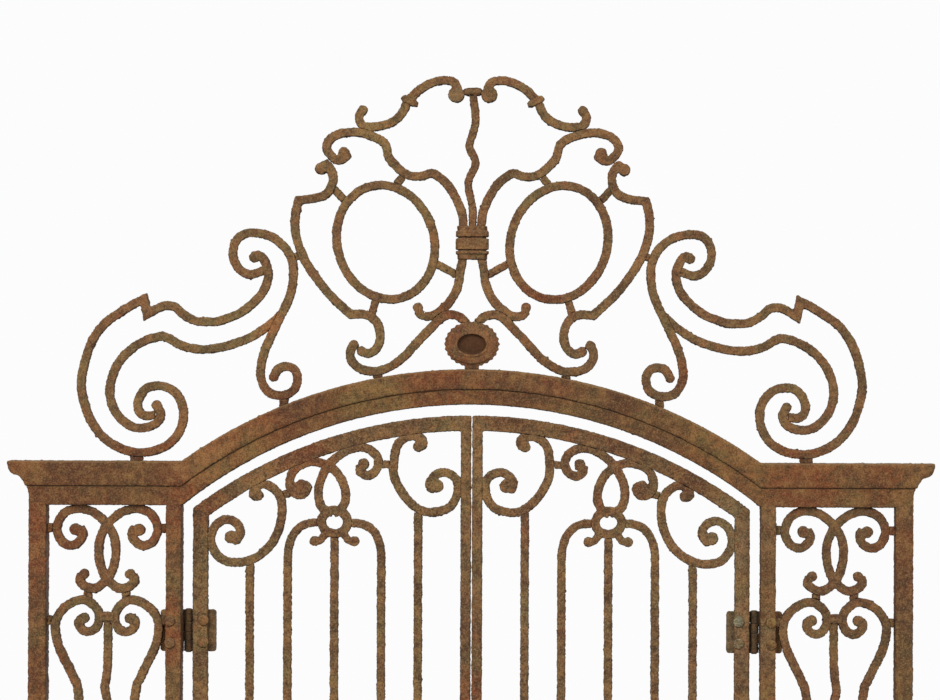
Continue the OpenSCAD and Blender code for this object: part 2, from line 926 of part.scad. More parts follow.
// Where the upright bars stand, from the leaf's middle
UPRIGHTS = [-168, -94, 0, 94, 170];

// A leaf is drawn about Y = 0 and then set between its faces
module set_leaf(side)
    mirror([side == "left" ? 1 : 0, 0, 0])
        translate([0, leaf_y, 0])
            children();

module hinge_stile(side)
    color(BROWN)
        difference() {
            set_leaf(side)
                upright(leaf_t)
                    polygon([
                        [leaf_inner_far, ground_gap], [leaf_outer, ground_gap],
                        [leaf_outer, leaf_top_z(leaf_outer)],
                        [leaf_inner_far, rail_under_z(leaf_inner_far)]
                    ]);
            mirror([side == "left" ? 1 : 0, 0, 0])
                bolt_holes(-1);
        }

module meeting_stile(side)
    color(BROWN)
        set_leaf(side)
            difference() {
                upright(leaf_t)
                    polygon([
                        [meeting_x, ground_gap], [leaf_inner, ground_gap],
                        [leaf_inner, rail_under_z(leaf_inner)], [meeting_x, rail_under_z(meeting_x)]
                    ]);
                rail_solid(cut);
            }

module rail_solid(depth = leaf_t)
    upright(depth)
        polygon(concat(
            [
                for (i = [0:24])
                    let (x = meeting_x + (leaf_outer - meeting_x) * i / 24)
                    [x, leaf_top_z(x)]
            ],
            [
                for (i = [24:-1:0])
                    let (x = meeting_x + (leaf_inner_far - meeting_x) * i / 24)
                    [x, rail_under_z(x)]
            ]
        ));

module top_rail(side)
    color(BROWN)
        set_leaf(side)
            rail_solid();

module straight_rail(side, z)
    color(BROWN)
        set_leaf(side)
            block([leaf_inner, -leaf_t / 2, z], [leaf_inner_far, leaf_t / 2, z + rail_w]);

// The space inside a leaf's frame, which trims what is pressed against it
module leaf_space()
    difference() {
        block([leaf_inner, -post_depth, lock_rail_top], [leaf_inner_far, post_depth, side_top + arch_rise]);
        upright(4 * post_depth)
            polygon(concat(
                [
                    for (i = [0:24])
                        let (x = meeting_x + (leaf_inner_far - meeting_x) * i / 24)
                        [x, rail_under_z(x)]
                ],
                [[leaf_outer, side_top - 110], [leaf_outer, side_top + 300], [meeting_x, side_top + 300]]
            ));
    }

module c_solid(depth = scroll_depth) {
    scroll(HINGE_C_LINE, HINGE_C_EYES, depth);
    scroll(MEETING_C_LINE, MEETING_C_EYES, depth);
}

module c_scrolls(side)
    color(BROWN)
        set_leaf(side)
            intersection() {
                c_solid();
                leaf_space();
            }

// The leaf's own middle line, about which the small pieces are mirrored
module about_leaf_mid() {
    children();
    translate([2 * leaf_mid, 0, 0])
        mirror([1, 0, 0])
            children();
}

module leaf_knot_solid(depth = scroll_depth) {
    bar(HINGE_EYE_LINE, depth);
    bar(MEETING_EYE_LINE, depth);
    for (e = KNOT_EYES_LEAF)
        eye(e[0], e[1], depth);
    translate([HUB_MID.x, 0, HUB_MID.y])
        upright(depth)
            difference() {
                ellipse(HUB_RX + scroll_w / 2, HUB_RZ + scroll_w / 2);
                ellipse(HUB_RX - scroll_w / 2, HUB_RZ - scroll_w / 2);
            }
    about_leaf_mid() {
        bar(CURL_LINE, depth, scroll_w - 3);
        eye(CURL_LINE[len(CURL_LINE) - 1], 9.5, depth);
    }
}

module knot(side)
    color(BROWN)
        set_leaf(side)
            intersection() {
                leaf_knot_solid();
                leaf_space();
            }

module arched_solid(depth = upright_w)
    about_leaf_mid()
        bar(
            concat(ARCHED_HALF, [[ARCHED_HALF[len(ARCHED_HALF) - 1].x, lock_rail_top - 5]]),
            depth, upright_w
        );

module arched_bar(side)
    color(BROWN)
        set_leaf(side)
            difference() {
                intersection() {
                    arched_solid();
                    leaf_space();
                }
                leaf_knot_solid(cut);
            }

module bars(side)
    color(BROWN)
        set_leaf(side) {
            difference() {
                for (w = UPRIGHTS)
                    if (abs(w) != 94)
                        upright_bar(w, lock_rail_top, w == 0 ? HUB_MID.y - HUB_RZ : on_leaf([w, -146]).y);
                c_solid(cut);
                leaf_knot_solid(cut);
            }
            for (w = UPRIGHTS)
                upright_bar(w, bottom_rail_top, lock_rail_z);
        }

module upright_bar(w, low, high) {
    x = leaf_mid + w * leaf_scale;
    block([x - upright_w / 2, -upright_w / 2, low], [x + upright_w / 2, upright_w / 2, high]);
}

// Welded blocks from the knot to the C-scrolls
LEAF_STRUTS = [[[88, -50], [110, -44]], [[-86, -49], [-120, -54]]];

module blocks(side)
    color(BROWN)
        set_leaf(side)
            difference() {
                for (s = LEAF_STRUTS)
                    strut(on_leaf(s[0]), on_leaf(s[1]));
                c_solid(cut);
                leaf_knot_solid(cut);
            }

// ---------------------------------------------------------------- hinges

// Bolt holes through the post (1) or the stile (-1) at both hinges
module bolt_holes(towards)
    for (z = hinge_zs, dz = [-bolt_spacing / 2, bolt_spacing / 2])
        translate([axis_x + towards * bolt_from_axis, 0, z + dz])
            rotate([90, 0, 0])
                cylinder(r = bolt_r + 0.3, h = 3 * post_depth, center = true);

// The height where a knuckle starts, from the top of the hinge
function knuckle_top(i) = i == 0 ? 0 : knuckle_top(i - 1) + KNUCKLES[i - 1];

// One half of a hinge: a plate and the two knuckles that belong to it
module hinge_half(towards, first) {
    difference() {
        union() {
            // The plate, with rounded outer corners
            translate([axis_x, post_depth / 2 + hinge_t / 2, 0])
                rotate([90, 0, 0])
                    linear_extrude(hinge_t, center = true)
                        polygon([
                            [towards * (barrel_r + plate_clear), -hinge_h / 2],
                            for (a = [-90:15:0])
                                [
                                    towards * (plate_reach - 6 + 6 * cos(a)),
                                    -hinge_h / 2 + 6 + 6 * sin(a)
                                ],
                            for (a = [0:15:90])
                                [
                                    towards * (plate_reach - 6 + 6 * cos(a)),
                                    hinge_h / 2 - 6 + 6 * sin(a)
                                ],
                            [towards * (barrel_r + plate_clear), hinge_h / 2]
                        ]);
            for (i = [first, first + 2]) {
                top = hinge_h / 2 - knuckle_top(i) * hinge_h;
                low = top - KNUCKLES[i] * hinge_h + knuckle_gap;
                translate([axis_x, axis_y, low])
                    cylinder(r = barrel_r, h = top - low);
                block(
                    [min(axis_x, axis_x + towards * (barrel_r + 2)), post_depth / 2, low],
                    [max(axis_x, axis_x + towards * (barrel_r + 2)), post_depth / 2 + hinge_t, top]
                );
            }
        }
        translate([axis_x, axis_y, -hinge_h])
            cylinder(r = pin_r + pin_clear, h = 2 * hinge_h);
        for (dz = [-bolt_spacing / 2, bolt_spacing / 2])
            translate([axis_x + towards * bolt_from_axis, 0, dz])
                rotate([90, 0, 0])
                    cylinder(r = bolt_r + 0.3, h = 3 * post_depth, center = true);
    }
}

module hinge_halves(side, towards, first)
    color(BROWN)
        mirror([side == "left" ? 1 : 0, 0, 0])
            for (z = hinge_zs)
                translate([0, 0, z])
                    hinge_half(towards, first);

// A pin with a low head above and a riveted foot below
module hinge_pins(side)
    color(DARK_BROWN)
        mirror([side == "left" ? 1 : 0, 0, 0])
            for (z = hinge_zs)
                translate([axis_x, axis_y, z]) {
                    translate([0, 0, -hinge_h / 2 - 1])
                        cylinder(r = pin_r, h = hinge_h + 2);
                    translate([0, 0, hinge_h / 2])
                        cylinder(r = pin_r + 2.5, h = 2);
                    translate([0, 0, -hinge_h / 2 - 2])
                        cylinder(r = pin_r + 2, h = 2);
                }

// Bolts: a round, slightly domed head in front, a shank and a hexagonal nut behind
module bolt(front, back) {
    dome_r = 30;
    translate([0, front, 0])
        rotate([90, 0, 0]) {
            cylinder(r = bolt_head_r, h = 4);
            translate([0, 0, 4])
                intersection() {
                    cylinder(r = bolt_head_r, h = 6);
                    translate([0, 0, -dome_r + 2.2])
                        sphere(r = dome_r);
                }
        }
    translate([0, back + 9, 0])
        rotate([90, 0, 0])
            cylinder(r = bolt_r, h = back + 9 - front);
    translate([0, back + 7, 0])
        rotate([90, 0, 0])
            cylinder(r = bolt_head_r - 1.5, h = 7, $fn = 6);
}

module bolt_set(towards, front)
    for (z = hinge_zs, dz = [-bolt_spacing / 2, bolt_spacing / 2])
        translate([axis_x + towards * bolt_from_axis, 0, z + dz])
            bolt(front, post_depth / 2 + hinge_t);

module leaf_bolts(side)
    color(OCHRE)
        mirror([side == "left" ? 1 : 0, 0, 0])
            bolt_set(-1, leaf_front);

module post_bolts()
    color(OCHRE)
        both_sides()
            bolt_set(1, -post_depth / 2);

// ---------------------------------------------------------------- bolts that lock

// The slide bolt lies in front of the lock rail of the right leaf
slide_y = leaf_front - rod_r - 5;
slide_z = lock_rail_z + rail_w / 2;
slide_tip_x = meeting_x + 3;
// A guide is this long along the rod and this much wider than it all round
guide_len = 18;
guide_wall = 5;
knob_r = 7;

module slide_bolt()
    color(DARK_BROWN) {
        translate([slide_tip_x, slide_y, slide_z])
            rotate([0, 90, 0])
                cylinder(r = rod_r, h = slide_bolt_len);
        translate([slide_tip_x + slide_bolt_len / 2, slide_y, slide_z])
            rotate([90, 0, 0])
                knob();
    }

// A turned knob on a short neck
module knob() {
    cylinder(r = knob_r * 0.6, h = rod_r + 10);
    translate([0, 0, rod_r + 8])
        cylinder(r = knob_r + 2, h = 4);
    translate([0, 0, rod_r + 12])
        intersection() {
            cylinder(r = knob_r + 2, h = 8);
            translate([0, 0, -8])
                sphere(r = knob_r + 6);
        }
}

// A guide: a block with the rod's bore, bolted to the face behind it
module guide(y)
    difference() {
        block(
            [0, y - rod_r - guide_wall, -rod_r - guide_wall],
            [guide_len, leaf_front, rod_r + guide_wall]
        );
        translate([-1, y, 0])
            rotate([0, 90, 0])
                cylinder(r = rod_r + rod_clear, h = guide_len + 2);
    }

// One guide is at the meeting end, and the far one still holds the rod when it is shot
slide_end_x = slide_tip_x + slide_bolt_len - slide_travel;
slide_guides_x = [slide_tip_x + 3, slide_end_x - guide_len - 5];

module slide_bolt_guides()
    color(DARK_BROWN)
        for (x = slide_guides_x)
            translate([x, 0, slide_z])
                guide(slide_y);

// The keeper is a square staple, with this much room round the rod's tip
keeper_clear = 1;

module slide_bolt_keeper()
    color(DARK_BROWN)
        translate([-meeting_x - 4 - guide_len, 0, slide_z])
            difference() {
                block(
                    [0, slide_y - rod_r - guide_wall, -rod_r - guide_wall],
                    [guide_len, leaf_front, rod_r + guide_wall]
                );
                block(
                    [-1, slide_y - rod_r - keeper_clear, -rod_r - keeper_clear],
                    [guide_len + 1, slide_y + rod_r + keeper_clear, rod_r + keeper_clear]
                );
            }

// The drop bolt stands in front of the left leaf's lower half, on its rails
drop_x = -(leaf_inner + 30);
drop_y = leaf_front - rod_r - 5;
drop_guide_zs = [ground_gap + (rail_w - guide_len) / 2, ground_gap + 260];

module drop_bolt()
    color(DARK_BROWN) {
        translate([drop_x, drop_y, drop_rest_z])
            cylinder(r = rod_r, h = drop_bolt_len);
        translate([drop_x, drop_y, drop_rest_z + drop_bolt_len * 0.45])
            rotate([90, 0, 0])
                knob();
    }

// The lower guide is on the bottom rail, the upper one on a strap from the meeting stile
module drop_bolt_guides()
    color(DARK_BROWN) {
        for (z = drop_guide_zs)
            translate([drop_x, 0, z + guide_len])
                rotate([0, 90, 0])
                    guide(drop_y);
        block(
            [drop_x, leaf_front - 5, drop_guide_zs[1]],
            [-meeting_x, leaf_front, drop_guide_zs[1] + guide_len]
        );
    }

// ---------------------------------------------------------------- assembly

mirror([1, 0, 0]) outer_post();  // outer_post_left
outer_post();  // outer_post_right
mirror([1, 0, 0]) hinge_post();  // hinge_post_left
hinge_post();  // hinge_post_right
base_plates();
panel_sills();
head_bar();
cornice();
tie_collars();
wavy_rod();
binding_collar();
medallion();
top_scrolls();
shoulder_scrolls();
oval_rings();
shield_bars();
foot_scrolls();
outer_volutes();
inner_volutes();
loop_scrolls();
crest_blocks();
panel_knots();
panel_lyres();
panel_rods();
panel_blocks();
hinge_stile("left");  // left_hinge_stile
meeting_stile("left");  // left_meeting_stile
top_rail("left");  // left_top_rail
straight_rail("left", lock_rail_z);  // left_lock_rail
straight_rail("left", ground_gap);  // left_bottom_rail
bars("left");  // left_bars
arched_bar("left");  // left_arched_bar
c_scrolls("left");  // left_c_scrolls
knot("left");  // left_knot
blocks("left");  // left_blocks
hinge_halves("left", -1, 1);  // left_hinge_plates
leaf_bolts("left");  // left_bolts
hinge_stile("right");  // right_hinge_stile
meeting_stile("right");  // right_meeting_stile
top_rail("right");  // right_top_rail
straight_rail("right", lock_rail_z);  // right_lock_rail
straight_rail("right", ground_gap);  // right_bottom_rail
bars("right");  // right_bars
arched_bar("right");  // right_arched_bar
c_scrolls("right");  // right_c_scrolls
knot("right");  // right_knot
blocks("right");  // right_blocks
hinge_halves("right", -1, 1);  // right_hinge_plates
leaf_bolts("right");  // right_bolts
hinge_halves("left", 1, 0);  // post_plates_left
hinge_halves("right", 1, 0);  // post_plates_right
hinge_pins("left");  // hinge_pins_left
hinge_pins("right");  // hinge_pins_right
post_bolts();
slide_bolt();
slide_bolt_guides();
slide_bolt_keeper();
drop_bolt();
drop_bolt_guides();
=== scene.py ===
import json
import math
from collections import namedtuple

import bmesh
import bpy
import numpy as np
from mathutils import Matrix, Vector


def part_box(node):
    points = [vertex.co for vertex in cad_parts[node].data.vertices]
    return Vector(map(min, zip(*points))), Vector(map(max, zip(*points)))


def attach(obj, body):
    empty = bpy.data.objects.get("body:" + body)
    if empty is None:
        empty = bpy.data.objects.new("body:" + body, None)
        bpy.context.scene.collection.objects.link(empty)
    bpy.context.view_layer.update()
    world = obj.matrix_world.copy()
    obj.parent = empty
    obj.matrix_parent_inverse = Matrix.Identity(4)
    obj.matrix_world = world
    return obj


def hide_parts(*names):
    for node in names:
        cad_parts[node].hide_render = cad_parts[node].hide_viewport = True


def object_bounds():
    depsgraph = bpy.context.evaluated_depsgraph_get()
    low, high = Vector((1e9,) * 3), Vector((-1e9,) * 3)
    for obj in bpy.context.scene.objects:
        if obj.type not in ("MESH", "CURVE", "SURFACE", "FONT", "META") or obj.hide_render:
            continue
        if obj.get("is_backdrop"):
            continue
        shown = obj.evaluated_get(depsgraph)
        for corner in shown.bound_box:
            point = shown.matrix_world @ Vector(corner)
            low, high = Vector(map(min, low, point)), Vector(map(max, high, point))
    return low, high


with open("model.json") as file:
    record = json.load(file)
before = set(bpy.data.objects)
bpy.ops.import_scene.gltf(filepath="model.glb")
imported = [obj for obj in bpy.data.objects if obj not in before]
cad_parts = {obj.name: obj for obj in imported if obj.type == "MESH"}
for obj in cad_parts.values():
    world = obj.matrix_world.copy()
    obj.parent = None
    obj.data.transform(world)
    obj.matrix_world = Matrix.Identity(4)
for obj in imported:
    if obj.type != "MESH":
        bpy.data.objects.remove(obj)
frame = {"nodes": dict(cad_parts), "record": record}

CAD_LO, CAD_HI = (Vector(v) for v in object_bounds())
NODES = frame["nodes"]
BODY_OF = {n: b for b, ns in frame["record"]["behaviour"]["bodies"].items() for n in ns}
SLOT_OF = {s["node"]: s["material_slot"] for s in frame["record"]["subparts"]}


# ------------------------------------------------------------------ helpers

def srgb(r, g, b):
    """A colour given as it looks, on the 0 to 255 scale, as linear light."""
    def linear(v):
        v /= 255
        return v / 12.92 if v <= 0.04045 else ((v + 0.055) / 1.055) ** 2.4
    return (linear(r), linear(g), linear(b), 1.0)


class Tree:
    """A short way to write node trees."""

    def __init__(self, tree):
        self.tree = tree
        tree.nodes.clear()

    def add(self, kind, inputs=None, **settings):
        """A new node, with sockets linked to its inputs and plain values set on them."""
        node = self.tree.nodes.new(kind)
        for key, value in settings.items():
            setattr(node, key, value)
        for key, value in (inputs or {}).items():
            if isinstance(value, bpy.types.NodeSocket):
                self.tree.links.new(value, node.inputs[key])
            else:
                node.inputs[key].default_value = value
        return node

    def math(self, operation, *values):
        node = self.add("ShaderNodeMath", dict(enumerate(values)), operation=operation)
        return node.outputs[0]

    def vector(self, operation, *values):
        node = self.add("ShaderNodeVectorMath", dict(enumerate(values)), operation=operation)
        return node.outputs

    def axes(self, vector):
        """The x, y and z of a vector."""
        return self.add("ShaderNodeSeparateXYZ", {0: vector}).outputs

    def noise(self, place, scale, detail, rough):
        node = self.add("ShaderNodeTexNoise", {
            "Vector": place, "Scale": scale, "Detail": detail, "Roughness": rough})
        return node.outputs[0]

    def span(self, value, a, b, to_a=0.0, to_b=1.0):
        """value's range a to b, laid out as to_a to to_b and held at its ends."""
        node = self.add("ShaderNodeMapRange", {0: value, 1: a, 2: b, 3: to_a, 4: to_b})
        return node.outputs[0]

    def mix(self, factor, a, b, blend="MIX"):
        node = self.add("ShaderNodeMix", {0: factor, 6: a, 7: b},
                        data_type="RGBA", blend_type=blend)
        return node.outputs[2]

    def end(self, kind, output):
        self.tree.links.new(output, self.add(kind).inputs[0])


# ------------------------------------------------------------------ the rust crust

# How rough each kind of piece is, in metres: the voxels it is remeshed with, how many steps
# of smoothing wear it round, the height of its grain, lumps and nubs, and how far its whole
# skin swells
Kind = namedtuple("Kind", "voxel steps grain lumps nubs swell")
KINDS = {
    "bar": Kind(0.0020, 2, 0.0026, 0.0018, 0.0030, 0.0001),
    "flat": Kind(0.0024, 1, 0.0022, 0.0014, 0.0028, 0.0002),
    "mould": Kind(0.0024, 1, 0.0018, 0.0008, 0.0026, 0.0002),
    "small": Kind(0.0014, 2, 0.0010, 0.0008, 0.0012, 0.0),
    "ribbed": Kind(0.0013, 2, 0.0018, 0.0014, 0.0020, 0.0002),
    "hinge": Kind(0.0012, 1, 0.0008, 0.0006, 0.0010, 0.0003),
    "bolt": Kind(0.0014, 2, 0.0014, 0.0010, 0.0016, 0.0002),
    "lumpy": Kind(0.0014, 2, 0.0028, 0.0020, 0.0030, 0.0004),
    "rod": Kind(0.0012, 1, 0.0002, 0.0001, 0.0, 0.0),
}
POST_OVERLAP = 0.008
TOUCHING = 0.001

SIDES = ("left", "right")
LEAF_FRAME = ("hinge_stile", "meeting_stile", "top_rail", "lock_rail", "bottom_rail")
POSTS = [f"{post}_{side}" for post in ("outer_post", "hinge_post") for side in SIDES]
NODES_OF_KIND = {
    "flat": POSTS + [f"{side}_{bar}" for side in SIDES for bar in LEAF_FRAME] + [
        "base_plates", "panel_sills"],
    "mould": ["head_bar", "cornice"],
    "small": ["medallion"],
    "ribbed": ["binding_collar"],
    "hinge": ["left_hinge_plates", "right_hinge_plates", "post_plates_left",
              "post_plates_right"],
    "bolt": ["left_bolts", "post_bolts"],
    "lumpy": ["right_bolts"],
    "rod": ["hinge_pins_left", "hinge_pins_right", "slide_bolt", "slide_bolt_guides",
            "slide_bolt_keeper", "drop_bolt", "drop_bolt_guides"],
}
KIND_OF = {node: "bar" for node in NODES}
KIND_OF.update({node: kind for kind, nodes in NODES_OF_KIND.items() for node in nodes})

# Each piece stands for one node, but a leaf's frame is welded and rusted into one
PIECES = {f"{side}_frame": [f"{side}_{bar}" for bar in LEAF_FRAME] for side in SIDES}
welded = sum(PIECES.values(), [])
PIECES.update({node: [node] for node in sorted(NODES) if node not in welded})

# The crust's noise: how many waves to the metre, and where in the noise it is taken from
GRAIN_SCALE = 190
LUMP_SCALE = 55
CRUST_SHIFT = (3.1, 2.17, 4.03)
# Nubs: how many cells to the metre, the share of cells that hold one, and its height as a
# share of the kind's own. A nub reaches NUB_REACH of a cell.
NUBS = ((52, 0.17, 1.0), (110, 0.14, 0.6))
NUB_REACH = 0.22


def crust_group(name, kind):
    """Geometry nodes that push a surface in and out like flaking rust, and keep how far, in
    millimetres, in the attribute "crust"."""
    group = bpy.data.node_groups.new(name, "GeometryNodeTree")
    group.interface.new_socket("Geometry", in_out="INPUT", socket_type="NodeSocketGeometry")
    group.interface.new_socket("Geometry", in_out="OUTPUT", socket_type="NodeSocketGeometry")
    t = Tree(group)
    start = t.add("NodeGroupInput")
    here = t.add("GeometryNodeInputPosition").outputs[0]
    place = t.vector("ADD", here, CRUST_SHIFT)[0]

    push = kind.swell
    for scale, rough, height in ((GRAIN_SCALE, 0.55, kind.grain), (LUMP_SCALE, 0.5, kind.lumps)):
        wave = t.math("SUBTRACT", t.noise(place, scale, 2.0, rough), 0.5)
        push = t.math("ADD", push, t.math("MULTIPLY", wave, 2 * height))
    # Some of the cells of a Voronoi pattern rise to a point
    for scale, share, height in NUBS:
        cells = t.add("ShaderNodeTexVoronoi", {"Vector": place, "Scale": scale}).outputs
        chosen = t.math("LESS_THAN", t.axes(cells["Color"])[0], share)
        peak = t.span(cells["Distance"], 0.0, NUB_REACH, 1.0, 0.0)
        nub = t.math("MULTIPLY", t.math("MULTIPLY", peak, chosen), kind.nubs * height)
        push = t.math("ADD", push, nub)

    kept = t.add("GeometryNodeStoreNamedAttribute", {
        "Geometry": start.outputs[0], "Name": "crust",
        "Value": t.math("MULTIPLY", push, 1000.0),
    }, data_type="FLOAT", domain="POINT")
    offset = t.add("ShaderNodeVectorMath", {
        0: t.add("GeometryNodeInputNormal").outputs[0], "Scale": push}, operation="SCALE")
    moved = t.add("GeometryNodeSetPosition", {
        "Geometry": kept.outputs[0], "Offset": offset.outputs[0]})
    t.end("NodeGroupOutput", moved.outputs[0])
    return group


GROUPS = {name: crust_group(f"crust_{name}", kind) for name, kind in KINDS.items()}


def joined(nodes):
    """A copy of the nodes' meshes in one mesh."""
    work = bmesh.new()
    for node in nodes:
        work.from_mesh(NODES[node].data)
    mesh = bpy.data.meshes.new("joined")
    work.to_mesh(mesh)
    work.free()
    return mesh


def raise_top(mesh, top):
    """Runs the copy of a post up into the head bar over it, so that no seam shows."""
    for v in mesh.vertices:
        if v.co.z > top - TOUCHING:
            v.co.z += POST_OVERLAP


def hold_in_box(mesh):
    """Keeps the mesh within the model's own box."""
    co = np.empty(len(mesh.vertices) * 3, np.float32)
    mesh.vertices.foreach_get("co", co)
    co = np.clip(co.reshape(-1, 3), np.array(CAD_LO), np.array(CAD_HI))
    mesh.vertices.foreach_set("co", co.ravel())
    mesh.update()


def crusted(name, nodes):
    """A new piece in the CAD nodes' place: the surface remeshed, worn round and crusted."""
    kind = KIND_OF[nodes[0]]
    mesh = joined(nodes)
    if name in POSTS:
        raise_top(mesh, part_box(name)[1][2])
    piece = bpy.data.objects.new("rust_" + name, mesh)
    bpy.context.scene.collection.objects.link(piece)
    remesh = piece.modifiers.new("remesh", "REMESH")
    remesh.mode = "VOXEL"
    remesh.voxel_size = KINDS[kind].voxel * 1
    worn = piece.modifiers.new("worn", "SMOOTH")
    worn.factor, worn.iterations = 0.5, KINDS[kind].steps
    piece.modifiers.new("crust", "NODES").node_group = GROUPS[kind]
    dg = bpy.context.evaluated_depsgraph_get()
    mesh = bpy.data.meshes.new_from_object(piece.evaluated_get(dg), depsgraph=dg)
    piece.modifiers.clear()
    old, piece.data = piece.data, mesh
    bpy.data.meshes.remove(old)
    hold_in_box(mesh)
    mesh.shade_smooth()
    return piece


# ------------------------------------------------------------------ materials

# Weathering that spreads over neighbouring pieces: how it tints, how strong it is, and round
# places given as x, z and radius in metres
Stain = namedtuple("Stain", "tint strength places")
STAINS = (
    # Red rust
    Stain((118, 58, 31), 0.78, (
        (-0.86, 1.90, 0.16), (-0.62, 1.88, 0.14), (-0.86, 1.74, 0.12), (-0.87, 1.50, 0.08),
        (-0.37, 2.02, 0.11), (-0.07, 2.09, 0.08), (0.08, 2.09, 0.11), (0.30, 2.05, 0.05),
        (0.66, 1.90, 0.09), (0.82, 1.89, 0.05), (-0.60, 1.59, 0.022), (-0.60, 1.54, 0.022),
        (-0.60, 1.64, 0.022), (-0.51, 1.95, 0.07), (0.87, 1.74, 0.09), (0.14, 2.27, 0.05),
        (-0.06, 2.22, 0.05), (0.43, 2.10, 0.05), (-0.33, 1.96, 0.07), (0.44, 1.90, 0.06),
        (0.02, 1.45, 0.08), (-0.02, 2.125, 0.025),
    )),
    # Old dark rust
    Stain((72, 50, 36), 0.5, (
        (0.26, 1.98, 0.10), (0.44, 1.87, 0.06), (-0.24, 1.98, 0.06), (0.87, 1.62, 0.20),
        (0.70, 1.72, 0.16), (0.24, 2.45, 0.06), (-0.35, 2.04, 0.08), (0.30, 2.06, 0.12),
        (0.10, 2.09, 0.10), (-0.80, 1.90, 0.09), (-0.66, 1.89, 0.08), (0.0, 1.58, 0.07),
        (0.34, 1.93, 0.08),
    )),
    # Ochre dust
    Stain((146, 118, 72), 0.4, (
        (-0.41, 2.20, 0.06), (-0.61, 2.05, 0.08), (-0.01, 1.91, 0.10), (-0.20, 2.60, 0.05),
        (-0.53, 1.93, 0.06), (-0.25, 1.45, 0.12), (0.01, 2.205, 0.035),
    )),
    # Fresh orange rust
    Stain((154, 100, 54), 0.42, (
        (-0.08, 2.39, 0.03), (0.19, 1.975, 0.03), (-0.12, 2.66, 0.03), (-0.17, 2.60, 0.02),
        (-0.40, 2.21, 0.035),
    )),
    # The welds under the scrolls
    Stain((60, 42, 31), 0.7, (
        (-0.668, 1.938, 0.016), (0.668, 1.938, 0.016), (-0.375, 2.042, 0.014),
        (0.375, 2.042, 0.014), (-0.188, 2.098, 0.014), (0.188, 2.098, 0.014),
        (0.0, 2.118, 0.014),
    )),
    # Grey-green bloom
    Stain((118, 106, 80), 0.5, (
        (0.53, 1.58, 0.09), (0.53, 1.78, 0.08), (-0.03, 2.66, 0.02),
    )),
)
# The bolts' own: brown on the left post, and pale on the upper bolt of the right leaf
BROWN_BOLTS = (Stain((112, 76, 54), 0.9, ((-0.60, 1.59, 0.052),)),)
PALE_BOLT = (Stain((156, 156, 132), 0.8, ((0.537, 1.61, 0.012),)),)

# Tints that every rust shares
ORANGE_PATCH = srgb(156, 100, 52)
RED_SPOT = srgb(130, 62, 36)
YELLOW_FLECK = srgb(140, 114, 66)
RED_FLECK = srgb(126, 62, 40)
DULL = srgb(72, 49, 35)
DRY = srgb(146, 114, 68)
# Painted shade on faces turned sideways
SIDE_SHADE = srgb(62, 42, 34)
# Painted shade on what looks down
UNDER_SHADE = srgb(36, 24, 19)
# Painted shade in hollows and grooves
HOLLOW_SHADE = srgb(62, 36, 20)
# Painted shade at the sides of the hinge barrels
BARREL_SIDE_SHADE = srgb(36, 24, 17)
# Painted light on the fronts of the hinge plates beyond the posts
PLATE_LIGHT = srgb(170, 130, 90)
# What a colour is multiplied by where it is redder or greener
REDDER = (1.3, 0.74, 0.78, 1.0)
GREENER = (0.76, 1.16, 1.06, 1.0)

# How far the hinge axes are from the middle
PIN_LO, PIN_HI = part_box("hinge_pins_right")
HINGE_X = (PIN_LO[0] + PIN_HI[0]) / 2


